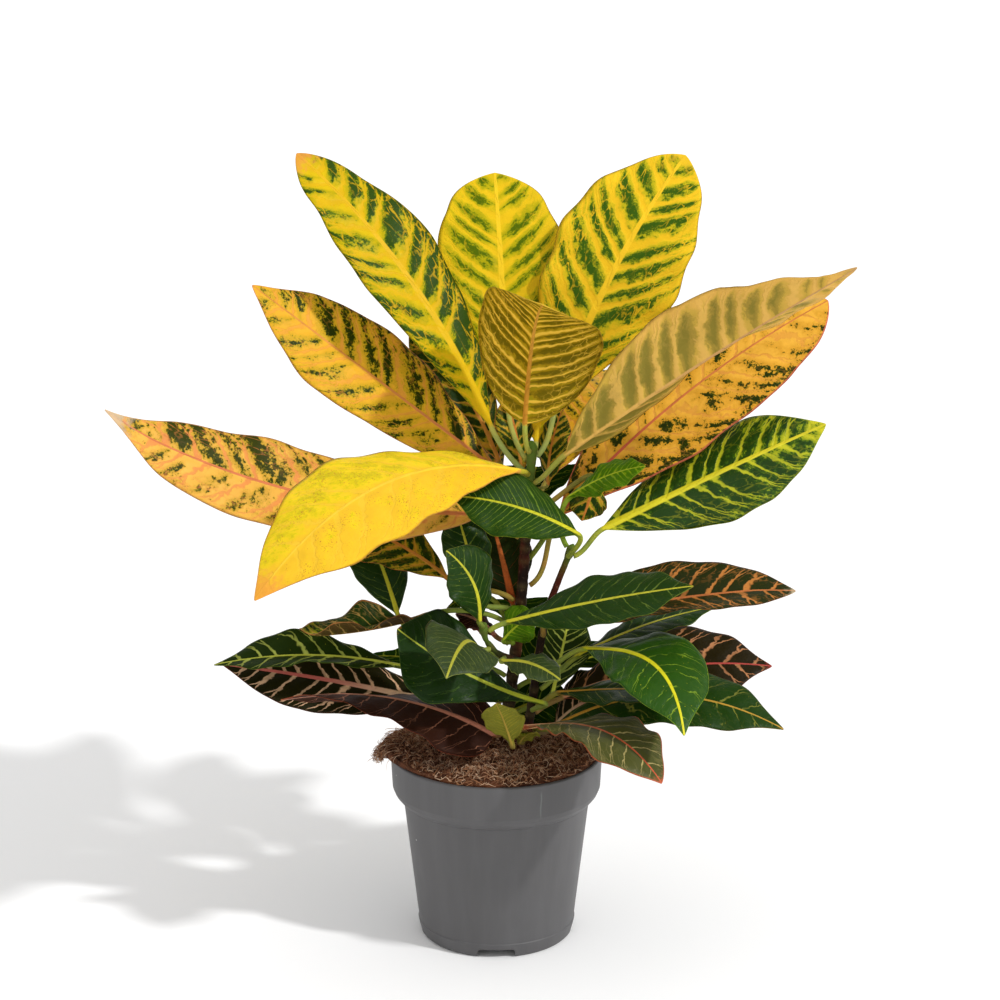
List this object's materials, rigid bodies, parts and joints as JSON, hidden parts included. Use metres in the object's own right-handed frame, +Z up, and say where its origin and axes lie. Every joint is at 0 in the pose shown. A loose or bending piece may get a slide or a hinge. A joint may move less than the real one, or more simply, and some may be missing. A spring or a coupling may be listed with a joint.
{
  "type": "potted croton",
  "caption": "Potted croton: a variegated house plant with yellow, golden and dark green leaves on woody shoots, standing in the soil of a round nursery pot.",
  "frame": {"origin": "middle of the pot's underside, on the surface that the pot stands on", "axes": "+Z up the pot's axis, -Y towards the viewer of the plant's best side, +X to that viewer's right"},
  "size_m": [0.4329, 0.283, 0.4786],
  "materials": {
    "pot": "satin",
    "soil": "rough",
    "bark": "rough",
    "leaf_yellow": "glossy",
    "leaf_golden": "glossy",
    "leaf_olive": "satin",
    "leaf_green": "glossy",
    "leaf_dark": "glossy",
    "leaf_bronze": "glossy"
  },
  "bodies": {
    "root": {"pot": "pot", "soil": "soil", "shoot_main": "bark", "shoot_right": "bark", "leaf_01_top_left": "leaf_yellow", "leaf_02_top_middle": "leaf_yellow", "leaf_03_top_right": "leaf_yellow", "leaf_04_centre_small": "leaf_olive", "leaf_05_right_olive": "leaf_olive", "leaf_06_right_golden": "leaf_golden", "leaf_07_left_golden": "leaf_golden", "leaf_08_left_dried_tip": "leaf_golden", "leaf_09_front_yellow": "leaf_yellow", "leaf_10_right_green": "leaf_green", "leaf_11_small_green": "leaf_green", "leaf_12_centre_green": "leaf_dark", "leaf_13_hanging_golden": "leaf_golden", "leaf_14_front_green": "leaf_green", "leaf_15_dried_hook": "leaf_dark", "leaf_16_right_thin": "leaf_dark", "leaf_17_pink_veined": "leaf_dark", "leaf_18_front_right": "leaf_green", "leaf_19_behind_front": "leaf_green", "leaf_20_low_right": "leaf_dark", "leaf_21_low_front": "leaf_dark", "leaf_22_low_back": "leaf_dark", "leaf_23_upright_dark": "leaf_dark", "leaf_24_bright_small": "leaf_green", "leaf_25_left_shoot_top": "leaf_dark", "leaf_26_left_upright": "leaf_green", "leaf_27_big_dark_left": "leaf_dark", "leaf_28_gray_green": "leaf_green", "leaf_29_small_drooping": "leaf_green", "leaf_30_curled": "leaf_dark", "leaf_31_left_green": "leaf_dark", "leaf_32_left_dark": "leaf_dark", "leaf_33_bronze": "leaf_bronze", "leaf_34_small_yellow": "leaf_olive", "leaf_35_soil_olive": "leaf_olive", "leaf_36_small_back": "leaf_green", "leaf_37_behind_yellow": "leaf_golden", "leaf_38_orange_midrib": "leaf_dark", "leaf_39_upright_left": "leaf_dark", "leaf_40_behind_golden": "leaf_golden", "leaf_41_small_red": "leaf_bronze", "leaf_42_back_top": "leaf_yellow", "leaf_43_back_top_right": "leaf_golden", "leaf_44_back_top_left": "leaf_golden", "leaf_45_back_middle": "leaf_dark", "leaf_46_back_right": "leaf_dark", "leaf_47_back_left": "leaf_golden", "leaf_48_back_low": "leaf_dark", "leaf_49_back_low_right": "leaf_dark", "leaf_50_back_low_left": "leaf_dark"}
  },
  "joints": []
}
